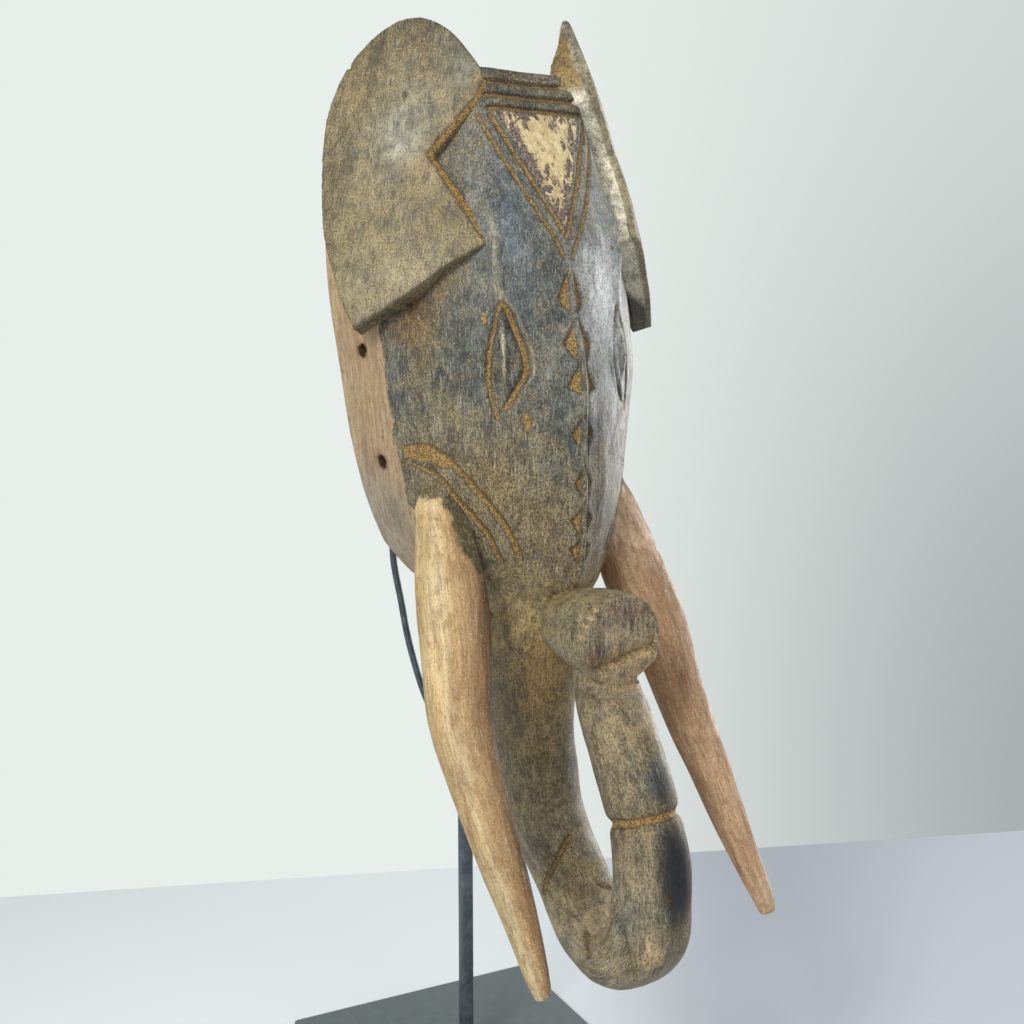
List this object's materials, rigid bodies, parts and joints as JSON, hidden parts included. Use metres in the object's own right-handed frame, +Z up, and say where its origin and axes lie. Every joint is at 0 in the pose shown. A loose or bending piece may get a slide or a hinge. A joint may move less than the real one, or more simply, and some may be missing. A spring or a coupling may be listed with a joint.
{
  "type": "carved elephant mask on a display stand",
  "caption": "Hollow carved wooden elephant mask with ear plates, tusks and a looped trunk, hung on a turning steel bracket over a square base.",
  "frame": {"origin": "the middle of the stand's underside, under the post, on the surface that it rests on", "axes": "+Z up; the mask looks along -Y; +X to the mask's own left"},
  "size_m": [0.2139, 0.3131, 0.6786],
  "materials": {
    "painted_wood": "worn matte black-brown paint with ochre dust in the cuts",
    "bare_wood": "bare dry tan wood, open grain",
    "black_steel": "satin blackened steel with a little rust",
    "felt": "pressed felt",
    "zinc_screw": "zinc plated",
    "vinyl": "dipped soft vinyl"
  },
  "bodies": {
    "stand": {"base_felt": "felt", "base_plate": "black_steel", "post": "black_steel", "post_screw": "zinc_screw"},
    "bracket": {"bracket_stem": "black_steel", "bracket_hub": "black_steel", "arm_right": "black_steel", "arm_left": "black_steel", "arm_tip_right": "vinyl", "arm_tip_left": "vinyl"},
    "mask": {"mask_head": "painted_wood", "ear_right": "painted_wood", "ear_left": "painted_wood", "tusk_right": "bare_wood", "tusk_left": "bare_wood", "trunk": "painted_wood"}
  },
  "joints": [
    {"name": "bracket_swivel", "type": "hinge", "parent": "stand", "child": "bracket", "pos_m": [0, 0, 0.2], "axis": [0, 0, 1], "continuous": true},
    {"name": "mask_lift_off", "type": "slide", "parent": "bracket", "child": "mask", "axis": [0, -1, 0], "range_m": [0, 0.16]}
  ]
}
